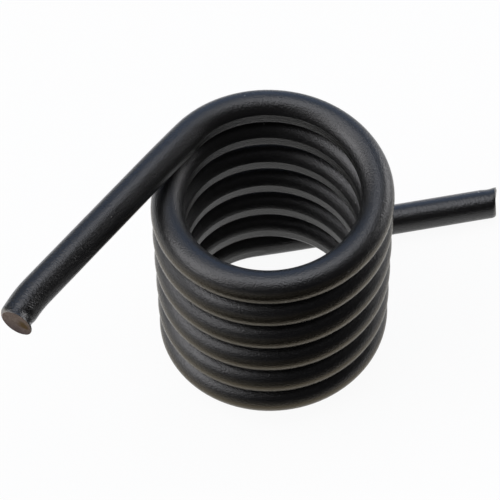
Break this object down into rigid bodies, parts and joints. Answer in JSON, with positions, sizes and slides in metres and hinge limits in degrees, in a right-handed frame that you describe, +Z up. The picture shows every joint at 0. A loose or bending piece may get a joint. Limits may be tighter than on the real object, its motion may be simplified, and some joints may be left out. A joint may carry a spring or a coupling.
{
  "type": "torsion spring",
  "caption": "Right-hand torsion spring wound from round steel wire, with a straight tangent leg at each end of its open coil.",
  "frame": {"origin": "on the coil's axis, level with the underside of the bottom leg", "axes": "+Z up along the coil's axis, +X the way the bottom leg points, with that leg on the +Y side"},
  "size_m": [0.0851, 0.037, 0.0421],
  "materials": {
    "oiled_black_steel": "black oxide, oiled satin"
  },
  "bodies": {
    "root": {"spring_wire": "oiled_black_steel"}
  },
  "joints": []
}
